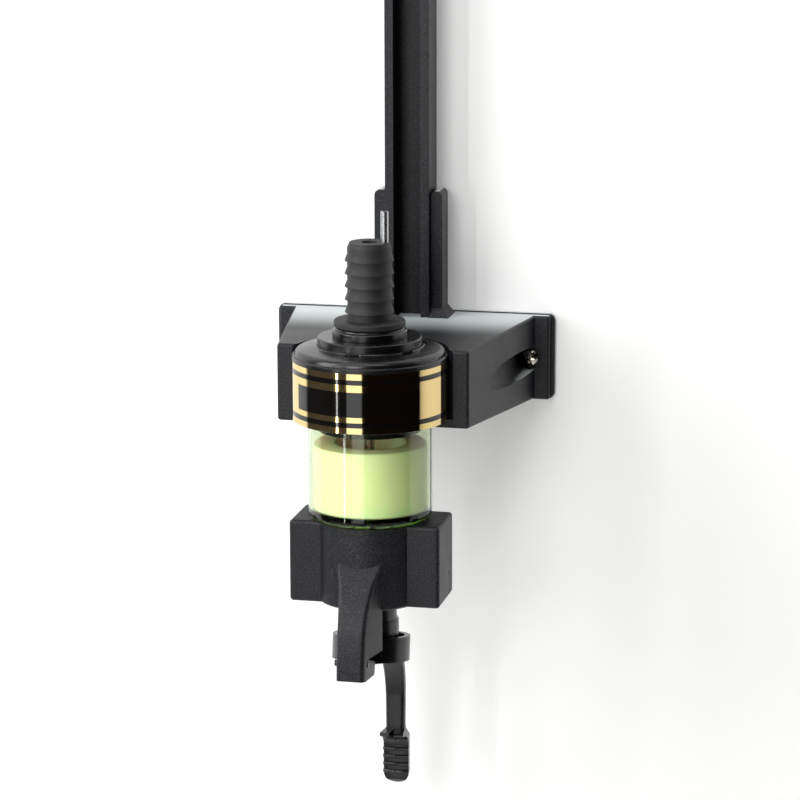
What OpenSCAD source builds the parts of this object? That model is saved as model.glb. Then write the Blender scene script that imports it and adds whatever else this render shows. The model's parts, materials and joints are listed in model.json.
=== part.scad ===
// Liquor optic dispenser: a wall bracket with a bottle rail and a sprung
// bottle steady, a measuring head that pulls out of the bracket's cradle,
// and a lever that lifts the spout to let one measure out.
// Millimetres. The origin is the middle of the wall plate's back face, on the
// line of the two wall screws. +X is right seen from the front, -Y points
// away from the wall and +Z is up.

/* [Wall bracket] */
// Distance from the wall to the dispenser's axis
reach = 83.5; // [81:0.5:95]
// Height of the bracket at the wall
bracket_h = 34.4; // [33:0.2:40]
// How far the jaw fronts lie behind the dispenser's axis
jaw_setback = 4; // [3:0.5:8]
// Thickness of each jaw beside the collar
jaw_t = 7.7; // [6.5:0.1:10]
// Width of the bracket's body where it meets the wings
root_w = 100.2; // [98:0.2:102]
// Moulded wall of the hollow bracket body
skin = 3; // [2.4:0.1:3.6]
// Thickness of the ledge under the collar
ledge_t = 3.6; // [2.4:0.1:4.4]
// Width of the ledge's bearing under the collar
ledge_w = 4.6; // [3:0.2:5.2]
// Rounding of the bracket's outer edges
edge_r = 1.3; // [0.6:0.1:1.8]
// Thickness of the wings that carry the wall screws
wing_t = 3; // [2.5:0.1:4]
// Thickness of the wall plate
plate_t = 2.6; // [2.2:0.1:4]
// How far the wall plate shows at the ends of the wings
plate_lip = 1.5; // [0.8:0.1:3]
// How far the wall plate shows above and below the wings
plate_rise = 0.4; // [0.2:0.1:1.5]

/* [Wall screws] */
// Distance between the two wall screws
screw_pitch = 96; // [94:0.5:100]
// Distance from each wall screw to the end of its wing
screw_edge = 8; // [7.4:0.1:10]
// Diameter of the wall screws' threads
screw_d = 4; // [3.5:0.1:4.5]
// Diameter of the wall screws' pan heads
head_d = 7.1; // [6.6:0.1:8]
// Height of the wall screws' pan heads
head_h = 2.4; // [2:0.1:3]
// Length of each screw behind the wall plate
screw_reach = 25; // [15:1:30]
// Radius of the driver scoop at the wing
scoop_r = 5; // [4.6:0.1:5.6]
// Radius of the driver scoop at its front end
scoop_mouth_r = 7.8; // [6.8:0.1:8.2]
// Diameter of the assembly screws
tack_d = 3; // [2.5:0.1:3.5]
// Length of the assembly screws
tack_l = 12; // [10:0.5:14]

/* [Bottle rail] */
// Width of the rail
rail_w = 18; // [17:0.5:20]
// Depth of the rail from front to back
rail_d = 15; // [14:0.5:16.5]
// Length of rail left above the bottle steady
rail_spare = 25; // [24:1:80]
// Width of the slot in the rail's front
slot_w = 11; // [9:0.5:12]
// Thickness of the two lips beside the slot
lip_t = 2.4; // [2:0.1:3]
// Thickness of the rail's sides
rail_side = 2; // [1.6:0.1:2.4]
// Thickness of the rail's back wall
rail_back = 3; // [2.5:0.1:3.5]
// Depth of the rail's socket in the bracket
socket_h = 26; // [22:0.5:27]
// Thickness of the cheeks that flank the rail
cheek_t = 4.8; // [4:0.1:6]
// Depth of the cheeks from front to back
cheek_d = 11; // [8:0.5:12]
// Height of the cheeks above the bracket's top
cheek_rise = 51; // [35:1:70]
// How far each cheek's foot spreads, and how high it reaches
gusset = 3.4; // [2:0.1:5]
// Thickness of the rail's end cap
cap_t = 2.4; // [1.6:0.1:4]

/* [Bottle steady] */
// Height of a bottle's base above its mouth
bottle_h = 292; // [285:1:295]
// Height of the steady's slider block
block_h = 44; // [40:1:50]
// Depth of the steady's slider block
block_d = 14; // [12:0.5:16]
// Width of the steady's slider block
block_w = 28; // [26:0.5:32]
// Radius of the boss at the end of the steady's arm
boss_r = 10; // [9:0.5:12]
// Height of that boss
boss_h = 22; // [20:1:26]
// Thickness of the arm's top web
web_t = 5; // [4:0.5:7]
// Thickness of the arm's rib
rib_t = 4; // [3:0.5:6]
// Radius of the plunger rod
rod_r = 5; // [4:0.25:5.5]
// Radius of the pressure plate
press_r = 28; // [24:0.5:32]
// Thickness of the pressure plate
press_t = 5; // [4:0.5:7]
// How far the rubber pad reaches into the bottle's punt
pad_h = 8; // [5:0.5:11]
// Travel of the sprung plunger
plunger_lift = 14; // [8:1:15]
// Wire diameter of the plunger spring
spring_wire = 1.4; // [1:0.1:1.6]
// Number of turns of the plunger spring
spring_turns = 7; // [6:1:8]
// Radius of the clamp knob
knob_r = 10; // [9:0.5:11]
// Depth of the clamp knob
knob_d = 10; // [8:0.5:11]
// Number of grip lobes on the clamp knob
knob_lobes = 8; // [6:1:10]
// Radius of the clamp screw
stud_r = 2.5; // [2:0.1:3]

/* [Dispenser head] */
// Outer diameter of the collar
collar_d = 60; // [59:0.2:61]
// Height of the collar and its foil band
collar_h = 23.4; // [22:0.2:24]
// Depth of the collar's top under the bracket's top
collar_drop = 3.4; // [2.8:0.1:3.8]
// Thickness of the foil band
foil_t = 0.3; // [0.2:0.05:0.5]
// Radius of the raised step on the cap
step_r = 20.1; // [19.4:0.1:21]
// Height of the cap's flat ring above the bracket's top
dome_top = 1.9; // [1.4:0.1:2.4]
// Height of the cap's raised step above the bracket's top
step_top = 5.4; // [4.6:0.1:6.5]
// Number of key notches round the step
notch_count = 5; // [3:1:6]
// Angle between neighbouring key notches
notch_pitch = 60; // [40:5:60]
// Width of each key notch
notch_w = 6.4; // [4:0.2:7]
// Radius of the stopper's base ring
base_r = 14.4; // [13.5:0.1:16]
// Height of the stopper's base ring
base_h = 3.9; // [3:0.1:5]
// Radius of the rubber stopper's flange
flange_r = 13.8; // [12.5:0.1:15]
// Thickness of the rubber stopper's flange
flange_t = 2.6; // [2:0.1:4]
// Core radius of the rubber plug
plug_r = 8.5; // [8.2:0.1:9.2]
// Length of the rubber plug
plug_l = 30; // [24:0.5:36]
// Number of sealing ribs on the plug
plug_ribs = 5; // [3:1:6]
// How far the sealing ribs stand out
rib_out = 1; // [0.6:0.1:1.4]
// Radius of the liquor port
port_r = 3; // [2.4:0.1:3.2]
// Radius of the breather tube
tube_r = 1.5; // [1.3:0.1:1.6]
// Distance of the breather tube from the axis
tube_off = 6; // [5.8:0.1:6.2]
// How far the breather tube stands above the plug
tube_rise = 12; // [6:1:40]

/* [Measuring chamber] */
// Outer radius of the clear chamber
chamber_r = 24; // [23:0.1:24.6]
// Wall of the clear chamber
chamber_t = 1.6; // [1.2:0.1:2]
// Height of the chamber that shows under the collar
chamber_show = 39.2; // [36:0.2:44]
// Thickness of the chamber's floor
floor_t = 4.4; // [3.5:0.1:5]
// Rounding of the chamber's lower edge
floor_r = 3.2; // [2:0.1:3.4]
// Inner radius of the measure ring
insert_in = 13.5; // [12:0.1:15]
// Height of the measure ring
insert_h = 25.5; // [20:0.5:26]
// Radius of the cap's inner skirt
skirt_r = 20; // [19:0.1:20.4]
// Length of the outlet neck under the chamber
neck_l = 22; // [20:0.5:24]
// Radius of the chamber's outlet neck
neck_r = 7.4; // [7.2:0.1:7.6]
// Wall of the outlet neck
neck_t = 1.4; // [1.2:0.1:1.6]

/* [Lower housing] */
// Width of the lower housing
housing_w = 59.4; // [56:0.2:62]
// Height of the lower housing
housing_h = 32.5; // [31.5:0.1:34]
// How far the housing's wings reach in front of the axis
housing_front = 12; // [10:0.5:14]
// How far the housing's wings reach behind the axis
housing_rear = 14; // [12:0.5:16]
// Radius of the housing's round boss
hub_r = 20.9; // [20.4:0.1:22]
// Bore of the housing
cavity_r = 12.2; // [12:0.1:12.6]
// Half width of the nose where its ramp leaves the boss
nose_half = 9; // [8.8:0.1:9.6]
// Half width of the nose along its back
nose_root = 8.7; // [8.4:0.1:9]
// Rounding down the nose's front edges
nose_round = 1.8; // [1:0.1:2.4]
// Depth of the ramp's top below the chamber
ramp_drop = 15.5; // [14:0.5:17]
// Half width of the nose's foot
foot_half = 5.6; // [5.2:0.1:6.5]
// Distance of the nose's foot in front of the axis
nose_reach = 36.2; // [35.4:0.1:37]
// Depth of the nose's front below the housing
nose_drop = 23.5; // [23:0.1:25]
// Slope of the nose's underside, down to the back
foot_slope = 6.5; // [0:0.5:9]

/* [Spout and lever] */
// Radius of the spout's guided barrel
barrel_r = 10.1; // [9.6:0.1:10.2]
// Radius of the spout's lower sleeve
sleeve_r = 10.9; // [10.4:0.1:11]
// Gap between the housing and the spout's shoulder at rest
shoulder_gap = 7.3; // [6.8:0.1:8]
// Depth of the spout's tip below the hinge pin
tip_drop = 6.4; // [5.5:0.1:7]
// Radius of the spout's mouth
mouth_r = 5; // [4:0.1:5.5]
// Radius of the valve rod
stem_r = 2; // [1.6:0.1:2.2]
// Travel of the spout
lift = 6; // [5:0.1:6.4]
// Height of the valve spring at rest
valve_l = 14.1; // [13.5:0.1:15]
// Wire diameter of the valve spring
valve_wire = 1; // [0.8:0.1:1.1]
// Distance of the hinge pin in front of the axis
hinge_off = 30; // [29:0.2:31]
// Height of the hinge pin above the nose's foot
hinge_up = 5.3; // [5:0.1:5.6]
// How far the hinge pin stands out of the left-hand cheek
pin_out = 1.6; // [0.5:0.1:2]
// Radius of the hinge pin
pin_r = 1.2; // [1:0.05:1.4]
// Slope of the lever at rest
lever_slope = 9.5; // [8.5:0.1:10]
// Inner radius of the lever's ring
ring_in = 13; // [12.8:0.1:13.4]
// Outer radius of the lever's ring
ring_out = 15.2; // [14.9:0.1:16]
// Height of the lever's ring
ring_h = 9.6; // [8.5:0.1:10.5]
// Thickness of the lever's tongue
tongue_t = 3; // [2.6:0.1:3.2]
// Width of the lever's arm at the ring
arm_w = 10.2; // [9:0.1:12]
// Width of the lever's arm at the pad
arm_tip_w = 7.8; // [7:0.1:8.6]
// Thickness of the lever's arm
arm_t = 4; // [3.6:0.1:5]
// Rounding of the arm's front edges
arm_round = 1.7; // [0.9:0.1:1.8]
// Radius of the bend in the lever's arm
bend_r = 30; // [26:0.5:32]
// Width of the thumb pad
thumb_w = 10.5; // [9.6:0.1:12]
// Height of the thumb pad
thumb_h = 23.8; // [21:0.1:26]
// Angle by which each half of the thumb pad falls back from its middle ridge
thumb_v = 7; // [0:1:10]
// Number of grip ribs on the thumb pad
thumb_ribs = 4; // [3:1:5]

/* [Clearances] */
// Gap round a running shaft
run_gap = 0.06; // [0.03:0.01:0.1]
// Gap between parts that slide on flat faces
slide_gap = 0.2; // [0.15:0.05:0.3]
// Gap between the collar and its cradle
cradle_gap = 0.4; // [0.3:0.05:0.6]
// Gap between parts that are assembled and stay put
fit_gap = 0.1; // [0.05:0.01:0.15]

/* [Hidden] */

$fn = 96;
round_fn = 24;  // facets round a ball that only softens an edge
sink = 0.01;    // how far a cut runs past the face it opens
black = "#2b2b30";
gloss_black = "#17171a";
steel = "#c3c6ca";
rubber = "#1f1f21";

// Bracket, seen from the dispenser's axis: y = 0 on the axis, z = 0 on the bracket's top
collar_r = collar_d / 2;
cradle_r = collar_r + cradle_gap;
jaw_half = cradle_r + jaw_t;
ledge_gap = 0.2;
jaw_h = collar_drop + collar_h + ledge_gap + ledge_t;
wing_back = reach - plate_t;
wing_front = wing_back - wing_t;
wing_w = screw_pitch + 2 * screw_edge;
screw_z = -bracket_h / 2;
shank_d = screw_d + 0.4;  // of the wall screws, where they pass through the bracket
seat_drop = 1.2;
wing_edge = 1;
tack_wall = tack_d / 2 + 1;

// Rail
rail_back_y = wing_back;
rail_front_y = rail_back_y - rail_d;
groove_w = rail_w - 2 * rail_side;
groove_d = rail_d - rail_back - lip_t;
cheek_back_y = rail_back_y - 1.5;

// Head, from the top down
base_top = step_top + base_h;
bottle_mouth = base_top + flange_t;
plug_top = bottle_mouth + plug_l;
cap_seat = -collar_drop;
spigot_r = collar_r - 2.7;
gasket_t = 1.5;
clamp_t = 2;
spigot_drop = 4;
gasket_top = cap_seat - spigot_drop;
flange_top = gasket_top - gasket_t;
collar_bottom = cap_seat - collar_h;
chamber_bottom = collar_bottom - chamber_show;
floor_top = chamber_bottom + floor_t;
chamber_in = chamber_r - chamber_t;
skirt_bottom = collar_bottom - 4;
seat_z = cap_seat - 9;
housing_bottom = chamber_bottom - housing_h;
boss_drop = 4.5;
foot_z = housing_bottom - nose_drop;
nose_top = chamber_bottom - ramp_drop;
nose_rear = ring_out + 2.9;  // clear of the lever's ring
mark_r = 5.6;   // of the half-round groove on each side
mark_w = 0.6;   // width and depth of that groove
washer_t = 1;
socket_r = cavity_r + 0.8;
washer_z = chamber_bottom - boss_drop - washer_t;
neck_bottom = chamber_bottom - neck_l;
neck_in = neck_r - neck_t;

// Spout
bush_r = barrel_r + run_gap;
head_r = cavity_r - 0.6;
head_t = 2.5;
spring_top = chamber_bottom - boss_drop - 0.3;
spring_base = spring_top - valve_l;
head_top = spring_base - 0.3;
head_bottom = head_top - head_t;
bush_h = head_bottom - 0.5 - housing_bottom;
shoulder_top = housing_bottom - shoulder_gap;
tip_z = foot_z + hinge_up - tip_drop;
cup_r = neck_r + 0.4;
hub_top = neck_bottom - lift - 2;
hub_h = 5;
valve_turns = 3.5;
inlet_top = seat_z - lift - 0.3;

// Lever
hinge_z = foot_z + hinge_up;
knuckle_r = pin_r + 1;  // of the lever round its hinge pin
slot_top = hinge_z + max(tongue_t / 2 + 0.9, knuckle_r + 0.2);
slot_bottom = hinge_z - max(tongue_t / 2 + 0.9, knuckle_r + 0.2);
clevis_half = foot_half - 2.1;
lug_r = 1.3;
lug_v = 3.5;
// How far along the sloping lever the spout's axis lies
ring_u = (hinge_off - lug_v * sin(lever_slope)) / cos(lever_slope);
lug_z = hinge_z - ring_u * sin(lever_slope) + lug_v * cos(lever_slope);

// Steady
bottle_base = bottle_mouth + bottle_h;
press_bottom = bottle_base;
press_top = press_bottom + press_t;
spring_l = plunger_lift + (spring_turns + 1) * spring_wire + 0.8;
boss_bottom = press_top + spring_l;
boss_top = boss_bottom + boss_h;
rod_top = boss_top + 7;
block_top = boss_top;
block_bottom = block_top - block_h;
block_back_y = rail_front_y - slide_gap;
block_front_y = block_back_y - block_d;
knob_z = block_bottom + knob_r + 3;
coil_r = rod_r + 2.6;
clip_t = 1;
clip_bite = 1;
clip_bottom = boss_top + 0.3;
rail_top = block_top + rail_spare;
plug_depth = 8;

// ---------------------------------------------------------------- helpers

// Moves what follows from the dispenser's axis and the bracket's top to the origin
module on_axis() {
    translate([0, -reach, bracket_h / 2]) children();
}

// Moves what follows to the hinge pin, along the sloping lever
module on_lever() {
    translate([0, -hinge_off, hinge_z]) rotate([-lever_slope, 0, 0]) children();
}

// A tube from z0 up to z1
module tube(r_out, r_in, z0, z1) {
    translate([0, 0, z0]) difference() {
        cylinder(r = r_out, h = z1 - z0);
        translate([0, 0, -1]) cylinder(r = r_in, h = z1 - z0 + 2);
    }
}

// A rod along Y from y0 to y1
module rod_y(r, y0, y1) {
    translate([0, y0, 0]) rotate([-90, 0, 0]) cylinder(r = r, h = y1 - y0);
}

// A rod along X, centred
module rod_x(r, l) {
    rotate([0, 90, 0]) cylinder(r = r, h = l, center = true);
}

// A block of ball-cornered edges between two corners
module soft_block(low, high, r) {
    hull() for (x = [low[0] + r, high[0] - r], y = [low[1] + r, high[1] - r], z = [low[2] + r, high[2] - r])
        translate([x, y, z]) sphere(r = r, $fn = round_fn);
}

// A plain block between two corners
module block(low, high) {
    translate(low) cube(high - low);
}

// A flat plate with round corners, standing in the XZ plane from y0 back to y1
module upright_plate(w, h, r, y0, y1) {
    translate([0, y1, 0]) rotate([90, 0, 0]) linear_extrude(y1 - y0) {
        square([w - 2 * r, h], center = true);
        square([w, h - 2 * r], center = true);
        for (x = [-1, 1], z = [-1, 1]) translate([x * (w / 2 - r), z * (h / 2 - r)]) circle(r = r);
    }
}

// Points of an arc, from angle a0 to a1, in n steps
function arc(cx, cy, rx, ry, a0, a1, n) =
    [for (i = [0:n]) let (a = a0 + (a1 - a0) * i / n) [cx + rx * cos(a), cy + ry * sin(a)]];

// Point i of a coil of radius r that climbs from z0 to z1
function coil_point(r, z0, z1, turns, steps, i) =
    [r * cos(360 * turns * i / steps), r * sin(360 * turns * i / steps), z0 + (z1 - z0) * i / steps];

// Unit vectors along and across the coil's wire at point i
function unit(v) = v / norm(v);
function coil_along(r, z0, z1, turns, steps, i) =
    let (a = 360 * turns * i / steps) unit([-r * sin(a), r * cos(a), (z1 - z0) / (turns * 2 * PI)]);

// A coil spring: one unbroken six-sided tube
module coil(r, wire, z0, z1, turns) {
    steps = round(turns * 8);
    low = z0 + wire / 2;
    high = z1 - wire / 2;
    rings = [for (i = [0:steps])
        let (p = coil_point(r, low, high, turns, steps, i),
             t = coil_along(r, low, high, turns, steps, i),
             out = unit([p[0], p[1], 0]),
             up = cross(t, out))
        [for (k = [0:5]) p + wire / 2 * (cos(60 * k) * out + sin(60 * k) * up)]];
    loft(rings);
}

// A solid through rings of equal count, each turning left as seen from the next
module loft(rings) {
    n = len(rings[0]);
    top = n * (len(rings) - 1);
    sides = [for (i = [0:len(rings) - 2], k = [0:n - 1]) let (a = n * i + k, b = n * i + (k + 1) % n)
        each [[a, b + n, b], [a, a + n, b + n]]];
    caps = [for (k = [1:n - 2]) each [[0, k, k + 1], [top, top + k + 1, top + k]]];
    polyhedron([for (ring = rings) each ring], concat(sides, caps));
}

// Least gap between neighbouring turns of a coil, measured on its points
function coil_gap(r, wire, z0, z1, turns) =
    let (steps = round(turns * 8), low = z0 + wire / 2, high = z1 - wire / 2)
    min([for (i = [0:steps], j = [i + 5:1:steps])
        norm(coil_point(r, low, high, turns, steps, i) - coil_point(r, low, high, turns, steps, j)) - wire]);
echo(plunger_spring_gap = coil_gap(coil_r, spring_wire, press_top, boss_bottom, spring_turns));
echo(valve_spring_gap = coil_gap(neck_r + 2.2, valve_wire, spring_base, spring_top, valve_turns));

// ---------------------------------------------------------------- wall bracket

// Places of the screws that hold the plate to the body, and the rail to both
function tack_places() = [
    for (x = [-1, 1], z = [-skin - tack_wall, skin + tack_wall - jaw_h]) [x * (rail_w / 2 + 16), z],
    [0, -socket_h / 3], [0, -socket_h * 5 / 6]
];

module wall_plate() color(black) on_axis() difference() {
    translate([0, 0, screw_z]) hull() {
        upright_plate(wing_w + 2 * plate_lip, bracket_h + 2 * plate_rise, 3, wing_back + 0.7, reach);
        upright_plate(wing_w + 2 * plate_lip - 1.2, bracket_h + 2 * plate_rise - 1.2, 2.4, wing_back, reach);
    }
    for (x = [-1, 1]) translate([x * screw_pitch / 2, 0, screw_z])
        rod_y(shank_d / 2 + fit_gap, wing_back - 1, reach + 1);
    for (p = tack_places()) translate([p[0], 0, p[1]]) tack_hole();
}

// The countersunk hole that a tack screw fills
module tack_hole() {
    rod_y(tack_d / 2, wing_back - 1, reach + 1);
    translate([0, reach, 0]) rotate([90, 0, 0])
        cylinder(r1 = tack_d, r2 = tack_d / 2, h = tack_d / 2);
}

// The bracket's solid body with every outer edge rounded
module body_block() hull() {
    for (s = [-1, 1], z = [-edge_r, edge_r - jaw_h])
        translate([s * (jaw_half - edge_r), jaw_setback + edge_r, z]) sphere(r = edge_r, $fn = round_fn);
    for (s = [-1, 1], z = [-edge_r, edge_r - bracket_h])
        translate([s * (root_w / 2 - edge_r), wing_front + edge_r, z]) sphere(r = edge_r, $fn = round_fn);
}

// Outline of the hollow behind the cradle, on the right-hand side
module hollow_plan() {
    inner = rail_w / 2 + slide_gap + skin;
    side_slope = (root_w / 2 - jaw_half) / (wing_front - jaw_setback);
    near = jaw_setback + skin;
    polygon([
        [inner, near], [jaw_half + side_slope * (near - jaw_setback) - skin, near],
        [root_w / 2 - skin, wing_front], [root_w / 2 - skin, wing_back + 1], [inner, wing_back + 1]
    ]);
}

// The right-hand hollow, clear of the cradle's wall, the driver scoop and the screw bosses
module hollow() difference() {
    translate([0, 0, skin - jaw_h]) linear_extrude(jaw_h - 2 * skin) difference() {
        hollow_plan();
        circle(r = cradle_r + skin);
    }
    driver_scoop(skin - 0.5);
    for (p = tack_places()) if (p[0] > 0) translate([p[0], 0, p[1]])
        rod_y(tack_d / 2 + 2, wing_back - tack_l - 2, wing_back + 2);
}

// The tapered scoop that lets a screwdriver reach the right-hand wall screw
module driver_scoop(grow) {
    run = wing_front + seat_drop - jaw_setback;
    translate([screw_pitch / 2, jaw_setback, screw_z]) rotate([-90, 0, 0])
        cylinder(r1 = scoop_mouth_r + grow, r2 = scoop_r + grow, h = run);
}

// The round seat for the collar, open to the front, with its ledge
module cradle() {
    flare = 1.4;
    top = -jaw_h + ledge_t;
    translate([0, 0, top]) linear_extrude(jaw_h) {
        circle(r = cradle_r, $fn = 180);
        polygon([
            [-cradle_r - flare, jaw_setback - 1], [cradle_r + flare, jaw_setback - 1],
            [cradle_r + flare, jaw_setback], [cradle_r - 0.6, jaw_setback + 1.8],
            [0.6 - cradle_r, jaw_setback + 1.8], [-cradle_r - flare, jaw_setback]
        ]);
    }
    translate([0, 0, -bracket_h - 1]) linear_extrude(bracket_h + 2 + top) {
        circle(r = collar_r - ledge_w, $fn = 180);
        translate([ledge_w - collar_r, -jaw_setback]) square([2 * (collar_r - ledge_w), 2 * jaw_setback]);
    }
}

// The pocket for the rail's foot, with the tongue that fills its slot
module rail_pocket() difference() {
    half = rail_w / 2 + fit_gap;
    block([-half, rail_front_y - fit_gap, -socket_h], [half, wing_back + 1, 1]);
    block([fit_gap - slot_w / 2, rail_front_y - 1, -socket_h - 1],
          [slot_w / 2 - fit_gap, rail_front_y + rail_d - rail_back - fit_gap, -1]);
}

// One cheek beside the rail, with its round top and its spreading foot
module cheek() {
    inner = rail_w / 2 + fit_gap;
    front = cheek_back_y - cheek_d;
    translate([inner + cheek_t / 2, cheek_back_y, 0]) rotate([90, 0, 0]) linear_extrude(cheek_d) {
        translate([-cheek_t / 2, -2]) square([cheek_t, cheek_rise - cheek_t / 2 + 2]);
        translate([0, cheek_rise - cheek_t / 2]) circle(r = cheek_t / 2);
    }
    loft([for (step = [[-1.5, gusset], [-0.4, gusset], [gusset, 0]])
        [[inner, front - step[1], step[0]], [inner + cheek_t + step[1], front - step[1], step[0]],
         [inner + cheek_t + step[1], cheek_back_y, step[0]], [inner, cheek_back_y, step[0]]]]);
}

module bracket_body() color(black) on_axis() difference() {
    union() {
        body_block();
        soft_block([-wing_w / 2, wing_front, -bracket_h], [wing_w / 2, wing_back + wing_t, 0], wing_edge);
        for (s = [0, 1]) mirror([s, 0, 0]) cheek();
    }
    block([-wing_w, wing_back, -2 * bracket_h], [wing_w, wing_back + 9, cheek_rise + 9]);
    cradle();
    rail_pocket();
    for (s = [0, 1]) mirror([s, 0, 0]) {
        hollow();
        driver_scoop(0);
        translate([screw_pitch / 2, 0, screw_z]) rod_y(shank_d / 2 + fit_gap, wing_front, wing_back + 1);
    }
    for (p = tack_places()) translate([p[0], 0, p[1]])
        rod_y(tack_d / 2, reach - tack_l, wing_back + 1);
}

// Wall screws: pan heads with a cross recess, plain shanks, and threads that stand out behind the plate
module wall_screws() color(steel) on_axis() {
    shank = reach - wing_front - seat_drop;
    thread_end = shank + screw_reach - screw_d / 2;
    for (x = [-1, 1]) translate([x * screw_pitch / 2, wing_front + seat_drop, screw_z]) difference() {
        union() {
            rotate([90, 0, 0]) rotate_extrude() polygon(concat(
                [[0, 0], [head_d / 2, 0]], arc(0, 0.7, head_d / 2, head_h - 0.7, 0, 90, 6)));
            rod_y(shank_d / 2, 0, shank);
            rod_y(screw_d / 2, shank, thread_end);
            translate([0, thread_end, 0]) rotate([-90, 0, 0])
                cylinder(r1 = screw_d / 2, r2 = 0.3, h = screw_d / 2);
        }
        translate([0, -head_h - 1, 0]) rotate([0, 12, 0])
            for (a = [0, 90]) rotate([0, a, 0])
                translate([-head_d * 0.3, 0, -0.45]) cube([head_d * 0.6, 2.4, 0.9]);
    }
}

// The countersunk screws that hold the plate to the body and the rail in its socket
module assembly_screws() color(steel) on_axis()
    for (p = tack_places()) translate([p[0], reach, p[1]]) rotate([90, 0, 0]) difference() {
        union() {
            cylinder(r1 = tack_d, r2 = tack_d / 2, h = tack_d / 2);
            cylinder(r = tack_d / 2, h = tack_l);
        }
        for (a = [0, 90]) rotate(a) translate([-tack_d * 0.6, -0.3, -1]) cube([tack_d * 1.2, 0.6, 1.9]);
    }

// The rail's section: a channel with a slot between two lips
module rail_section() difference() {
    translate([-rail_w / 2, rail_front_y]) square([rail_w, rail_d]);
    translate([-slot_w / 2, rail_front_y - 1]) square([slot_w, lip_t + 2]);
    translate([-groove_w / 2, rail_front_y + lip_t]) square([groove_w, groove_d]);
}

module bottle_rail() color(black) on_axis() difference() {
    translate([0, 0, -socket_h]) linear_extrude(socket_h + rail_top) rail_section();
    for (p = tack_places()) if (p[0] == 0) translate([0, 0, p[1]])
        rod_y(tack_d / 2, rail_back_y - rail_back - 1, rail_back_y + 1);
}

module rail_end_cap() color(black) on_axis() {
    soft_block([-rail_w / 2, rail_front_y, rail_top], [rail_w / 2, rail_back_y, rail_top + cap_t], cap_t / 3);
    groove_y = rail_front_y + lip_t;
    block([fit_gap - groove_w / 2, groove_y + fit_gap, rail_top - plug_depth],
          [groove_w / 2 - fit_gap, groove_y + groove_d - fit_gap, rail_top + cap_t / 2]);
}

// ---------------------------------------------------------------- bottle steady

module steady_arm() color(black) on_axis() difference() {
    union() {
        soft_block([-block_w / 2, block_front_y, block_bottom], [block_w / 2, block_back_y, block_top], 1.5);
        block([slide_gap - slot_w / 2, block_back_y - 1, block_bottom + 1],
              [slot_w / 2 - slide_gap, rail_front_y + lip_t + 1, block_top - 1]);
        block([slide_gap - groove_w / 2, rail_front_y + lip_t + slide_gap, block_bottom + 1],
              [groove_w / 2 - slide_gap, rail_front_y + lip_t + 3, block_top - 1]);
        hull() {
            translate([0, 0, block_top - web_t]) cylinder(r = boss_r, h = web_t, $fn = 32);
            block([-block_w / 2 + 2, block_front_y + 1, block_top - web_t],
                  [block_w / 2 - 2, block_front_y + 3, block_top]);
        }
        translate([rib_t / 2, 0, 0]) rotate([90, 0, -90]) linear_extrude(rib_t) polygon([
            [-boss_r + 1, block_top - 2], [-block_front_y - 2, block_top - 2],
            [-block_front_y - 2, block_bottom + knob_r * 2 + 5], [-boss_r + 1, boss_bottom + 2]
        ]);
        tube(boss_r, rod_r + run_gap, boss_bottom, boss_top);
    }
    translate([0, 0, boss_bottom - 1]) cylinder(r = rod_r + run_gap, h = boss_h + 2);
    translate([0, 0, knob_z]) rod_y(stud_r + run_gap, block_front_y - 1, rail_front_y + lip_t + 4);
}

module clamp_knob() color(gloss_black) on_axis()
    translate([0, block_front_y - 0.6, knob_z]) rotate([90, 0, 0]) difference() {
        union() {
            cylinder(r = knob_r * 0.8, h = knob_d);
            cylinder(r = knob_r * 0.45, h = knob_d);
            for (i = [0:knob_lobes - 1]) rotate(360 * i / knob_lobes)
                translate([knob_r * 0.76, 0, 1.5]) cylinder(r = knob_r * 0.24, h = knob_d - 2.5);
        }
        translate([0, 0, -1]) cylinder(r = stud_r, h = knob_d - 2);
    }

module clamp_screw() color(steel) on_axis() translate([0, 0, knob_z])
    rod_y(stud_r, block_front_y - knob_d + 2.4, rail_back_y - rail_back - 0.3);

module pressure_plate() color(black) on_axis() difference() {
    rotate_extrude() polygon(concat(
        [[rod_r, press_bottom], [press_r, press_bottom]],
        arc(press_r - 2, press_bottom + press_t * 0.6 - 2, 2, 2, 0, 90, 6),
        [[rod_r + 5.5, press_top - 1.2], [rod_r + 5.5, press_top], [rod_r, press_top]]));
    tube(press_r - 3, press_r - 5, press_bottom - 1, press_bottom + 1.2);
}

// A rubber dome that centres itself in the bottle's punt
module punt_pad() color(rubber) on_axis() rotate_extrude() polygon(concat(
    [[0, press_bottom - pad_h]],
    arc(0, press_bottom - 2, press_r - 6, pad_h - 2, -90, 0, 14),
    [[press_r - 6, press_bottom], [0, press_bottom]]));

module plunger_rod() color(steel) on_axis() {
    difference() {
        translate([0, 0, press_bottom]) cylinder(r = rod_r, h = rod_top - press_bottom - 0.6);
        tube(rod_r + 1, rod_r - clip_bite, clip_bottom, clip_bottom + clip_t + fit_gap);
    }
    translate([0, 0, rod_top - 0.6]) cylinder(r1 = rod_r, r2 = rod_r - 0.6, h = 0.6);
}

// The open spring clip that keeps the rod from falling through the boss
module rod_clip() color(steel) on_axis() translate([0, 0, clip_bottom + fit_gap / 2]) linear_extrude(clip_t)
    difference() {
        circle(r = rod_r + 2.6);
        circle(r = rod_r - clip_bite);
        translate([-rod_r * 0.62, -rod_r * 2]) square([rod_r * 1.24, rod_r * 2]);
    }

module plunger_spring() color(steel) on_axis()
    coil(coil_r, spring_wire, press_top + fit_gap, boss_bottom - fit_gap, spring_turns);

// ---------------------------------------------------------------- dispenser head

// Two bores that run down through the plug, its base and the cap
module head_ports(z0, z1) {
    translate([0, 0, z0]) cylinder(r = port_r, h = z1 - z0);
    translate([tube_off, 0, z0]) cylinder(r = tube_r, h = z1 - z0);
}

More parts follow.
